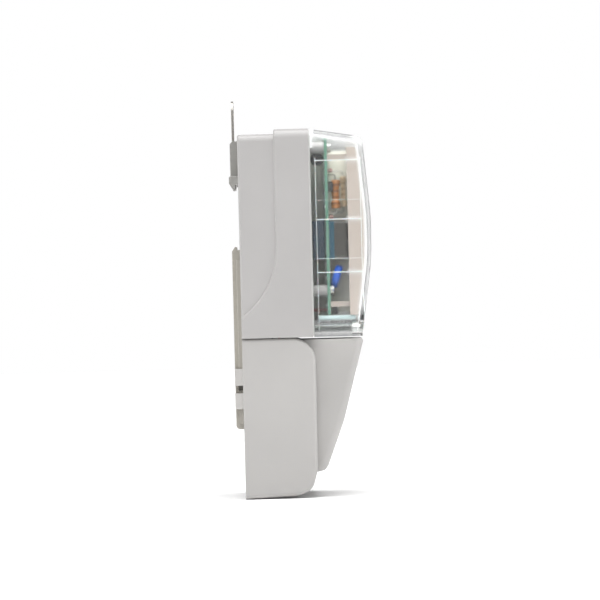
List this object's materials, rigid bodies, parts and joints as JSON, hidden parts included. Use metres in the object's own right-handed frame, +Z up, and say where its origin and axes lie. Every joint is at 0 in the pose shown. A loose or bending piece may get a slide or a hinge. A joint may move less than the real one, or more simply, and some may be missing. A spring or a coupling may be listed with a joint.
{
  "type": "electricity meter",
  "caption": "Wall or rail mounted single-phase electricity meter: grey housing, clear sealed cover, long tapering terminal cover, hanger and rail latch behind.",
  "frame": {"origin": "on the flat of the back, centre line of the rail, middle of the width", "axes": "+Z up the wall, +Y towards the wall, -Y out of the front, +X to the reader's right"},
  "size_m": [0.122, 0.0766, 0.2174],
  "materials": {
    "grey_housing": "fine spark-eroded texture",
    "grey_cover": "fine spark-eroded texture",
    "plated_steel": "zinc plated",
    "beige_plastic": "moulded",
    "spring_steel": "rolled strip",
    "clear_polycarbonate": "polished",
    "pale_silicone": "moulded",
    "black_plastic": "moulded",
    "brass": "machined",
    "copper": "rolled",
    "red_wire": "extruded insulation",
    "blue_wire": "extruded insulation",
    "black_wire": "extruded insulation",
    "green_plastic": "moulded",
    "green_board": "solder resist",
    "brown_resistor": "lacquered",
    "tan_resistor": "lacquered",
    "pink_resistor": "lacquered",
    "blue_box": "potted box",
    "capacitor_sleeve": "shrunk sleeve",
    "blue_coating": "epoxy dipped",
    "chrome_can": "drawn can",
    "red_led": "tinted epoxy",
    "pale_panel": "printed panel",
    "white_acetal": "moulded",
    "stator_steel": "stamped",
    "dark_frame": "moulded",
    "blue_plate": "moulded",
    "black_drum": "moulded, printed digits"
  },
  "bodies": {
    "housing": {"base_housing": "grey_housing", "bleed_resistor": "tan_resistor", "block_screws": "plated_steel", "brass_terminals": "brass", "clear_cover": "clear_polycarbonate", "cover_gasket": "pale_silicone", "cover_screws": "plated_steel", "crystal": "chrome_can", "dropper_resistor": "brown_resistor", "drum_shaft": "plated_steel", "film_capacitor": "blue_box", "film_resistors": "pink_resistor", "front_panel": "pale_panel", "led_holder": "black_plastic", "metering_chips": "black_plastic", "motor_coil": "copper", "motor_leads": "red_wire", "motor_stator": "stator_steel", "neutral_lead": "blue_wire", "neutral_link": "brass", "optocoupler": "black_plastic", "pcb": "green_board", "pcb_screws": "plated_steel", "pinion_shaft": "plated_steel", "pulse_leads": "black_wire", "pulse_led": "red_led", "pulse_terminal": "green_plastic", "pulse_terminal_screws": "plated_steel", "rectifier": "black_plastic", "register_base": "blue_plate", "register_cheek": "dark_frame", "register_frame": "dark_frame", "reservoir_capacitor": "capacitor_sleeve", "shunt": "copper", "shunt_leads": "red_wire", "terminal_block": "black_plastic", "terminal_screws": "plated_steel", "varistor": "blue_coating"},
    "hanger": {"hanger": "plated_steel"},
    "din_latch": {"din_latch": "beige_plastic", "latch_spring": "spring_steel"},
    "terminal_cover": {"terminal_cover": "grey_cover", "terminal_cover_screw": "plated_steel"},
    "idler": {"idler_gear": "white_acetal"},
    "rotor": {"motor_rotor": "white_acetal"},
    "drum_1": {"digit_drum_1": "black_drum"},
    "drum_2": {"digit_drum_2": "black_drum"},
    "drum_3": {"digit_drum_3": "black_drum"},
    "drum_4": {"digit_drum_4": "black_drum"},
    "drum_5": {"digit_drum_5": "black_drum"},
    "drum_6": {"digit_drum_6": "black_drum"},
    "pinion_1": {"carry_pinion_1": "white_acetal"},
    "pinion_2": {"carry_pinion_2": "white_acetal"},
    "pinion_3": {"carry_pinion_3": "white_acetal"},
    "pinion_4": {"carry_pinion_4": "white_acetal"},
    "pinion_5": {"carry_pinion_5": "white_acetal"}
  },
  "joints": [
    {"name": "hanger_slide", "type": "slide", "parent": "housing", "child": "hanger", "axis": [0, 0, 1], "range_m": [-0.0205, 0]},
    {"name": "latch_slide", "type": "slide", "parent": "housing", "child": "din_latch", "axis": [0, 0, -1], "range_m": [0, 0.006], "stiffness_N_per_m": 900, "springref_m": -0.004, "deforming": ["latch_spring"]},
    {"name": "terminal_cover_slide", "type": "slide", "parent": "housing", "child": "terminal_cover", "axis": [0, -1, 0], "range_m": [0, 0.08]},
    {"name": "drum_1_spin", "type": "hinge", "parent": "housing", "child": "drum_1", "pos_m": [0.0175, -0.0586, -0.0148], "axis": [-1, 0, 0], "continuous": true},
    {"name": "drum_2_spin", "type": "hinge", "parent": "housing", "child": "drum_2", "pos_m": [0.0105, -0.0586, -0.0148], "axis": [-1, 0, 0], "continuous": true},
    {"name": "drum_3_spin", "type": "hinge", "parent": "housing", "child": "drum_3", "pos_m": [0.0035, -0.0586, -0.0148], "axis": [-1, 0, 0], "continuous": true},
    {"name": "drum_4_spin", "type": "hinge", "parent": "housing", "child": "drum_4", "pos_m": [-0.0035, -0.0586, -0.0148], "axis": [-1, 0, 0], "continuous": true},
    {"name": "drum_5_spin", "type": "hinge", "parent": "housing", "child": "drum_5", "pos_m": [-0.0105, -0.0586, -0.0148], "axis": [-1, 0, 0], "continuous": true},
    {"name": "drum_6_spin", "type": "hinge", "parent": "housing", "child": "drum_6", "pos_m": [-0.0175, -0.0586, -0.0148], "axis": [-1, 0, 0], "continuous": true},
    {"name": "pinion_1_spin", "type": "hinge", "parent": "housing", "child": "pinion_1", "pos_m": [0.014, -0.0551, -0.00874], "axis": [-1, 0, 0], "continuous": true},
    {"name": "pinion_2_spin", "type": "hinge", "parent": "housing", "child": "pinion_2", "pos_m": [0.007, -0.0551, -0.00874], "axis": [-1, 0, 0], "continuous": true},
    {"name": "pinion_3_spin", "type": "hinge", "parent": "housing", "child": "pinion_3", "pos_m": [0, -0.0551, -0.00874], "axis": [-1, 0, 0], "continuous": true},
    {"name": "pinion_4_spin", "type": "hinge", "parent": "housing", "child": "pinion_4", "pos_m": [-0.007, -0.0551, -0.00874], "axis": [-1, 0, 0], "continuous": true},
    {"name": "pinion_5_spin", "type": "hinge", "parent": "housing", "child": "pinion_5", "pos_m": [-0.014, -0.0551, -0.00874], "axis": [-1, 0, 0], "continuous": true},
    {"name": "idler_spin", "type": "hinge", "parent": "housing", "child": "idler", "pos_m": [0.027, -0.0551, -0.00874], "axis": [-1, 0, 0], "continuous": true},
    {"name": "rotor_spin", "type": "hinge", "parent": "housing", "child": "rotor", "pos_m": [0.0365, -0.05406, -0.01465], "axis": [-1, 0, 0], "continuous": true}
  ],
  "couplings": [
    {"joint": "drum_2_spin", "follows": "drum_1_spin", "ratio": 0.1},
    {"joint": "drum_3_spin", "follows": "drum_1_spin", "ratio": 0.01},
    {"joint": "drum_4_spin", "follows": "drum_1_spin", "ratio": 0.001},
    {"joint": "drum_5_spin", "follows": "drum_1_spin", "ratio": 0.0001},
    {"joint": "drum_6_spin", "follows": "drum_1_spin", "ratio": 0.00001},
    {"joint": "pinion_1_spin", "follows": "drum_1_spin", "ratio": -0.25},
    {"joint": "pinion_2_spin", "follows": "drum_1_spin", "ratio": -0.025},
    {"joint": "pinion_3_spin", "follows": "drum_1_spin", "ratio": -0.0025},
    {"joint": "pinion_4_spin", "follows": "drum_1_spin", "ratio": -0.00025},
    {"joint": "pinion_5_spin", "follows": "drum_1_spin", "ratio": -0.000025},
    {"joint": "idler_spin", "follows": "drum_1_spin", "ratio": -2.5},
    {"joint": "rotor_spin", "follows": "drum_1_spin", "ratio": 5}
  ]
}
